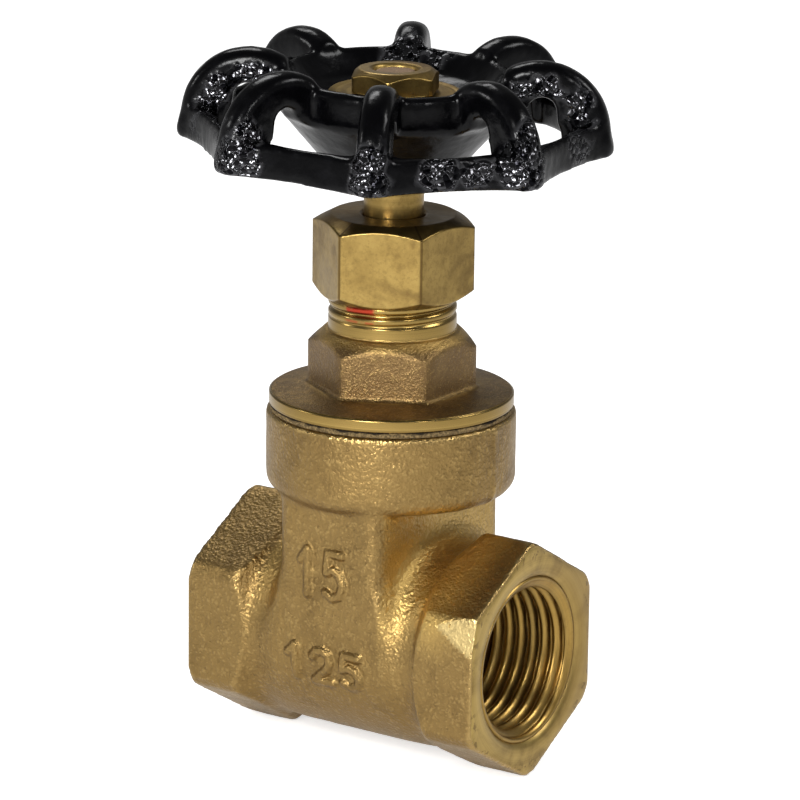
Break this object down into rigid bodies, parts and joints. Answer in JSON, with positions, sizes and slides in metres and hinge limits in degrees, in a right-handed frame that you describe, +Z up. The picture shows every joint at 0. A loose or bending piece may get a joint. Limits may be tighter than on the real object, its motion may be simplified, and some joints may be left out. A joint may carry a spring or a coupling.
{
  "type": "gate valve",
  "caption": "Cast brass gate valve with threaded hex ends, a screwed bonnet, a packing nut and a black arched-rib handwheel that lifts an inner wedge.",
  "frame": {"origin": "centre of the inlet end's flat face, on the pipe axis", "axes": "+X along the pipe towards the outlet, +Z up along the stem"},
  "size_m": [0.0547, 0.0547, 0.0934],
  "materials": {
    "cast_brass": "sand-cast, satin",
    "machined_brass": "machined, bright",
    "fibre": "matt dark sheet",
    "packing": "matt white rings",
    "black_paint": "gloss black over rough casting"
  },
  "bodies": {
    "valve_body": {"body": "cast_brass", "gasket": "fibre", "bonnet": "cast_brass", "packing": "packing", "gland": "machined_brass", "packing_nut": "machined_brass"},
    "wheel": {"stem": "machined_brass", "handwheel": "black_paint", "plain_disc": "machined_brass", "wheel_nut": "machined_brass"},
    "gate": {"wedge": "cast_brass"}
  },
  "joints": [
    {"name": "handwheel_turn", "type": "hinge", "parent": "valve_body", "child": "wheel", "pos_m": [0.0226, 0, 0.063], "axis": [0, 0, 1], "range_deg": [0, 2100]},
    {"name": "wedge_lift", "type": "slide", "parent": "valve_body", "child": "gate", "axis": [0, 0, 1], "range_m": [0, 0.0146]}
  ],
  "couplings": [
    {"joint": "wedge_lift", "follows": "handwheel_turn", "m_per_rad": 0.00039789}
  ]
}
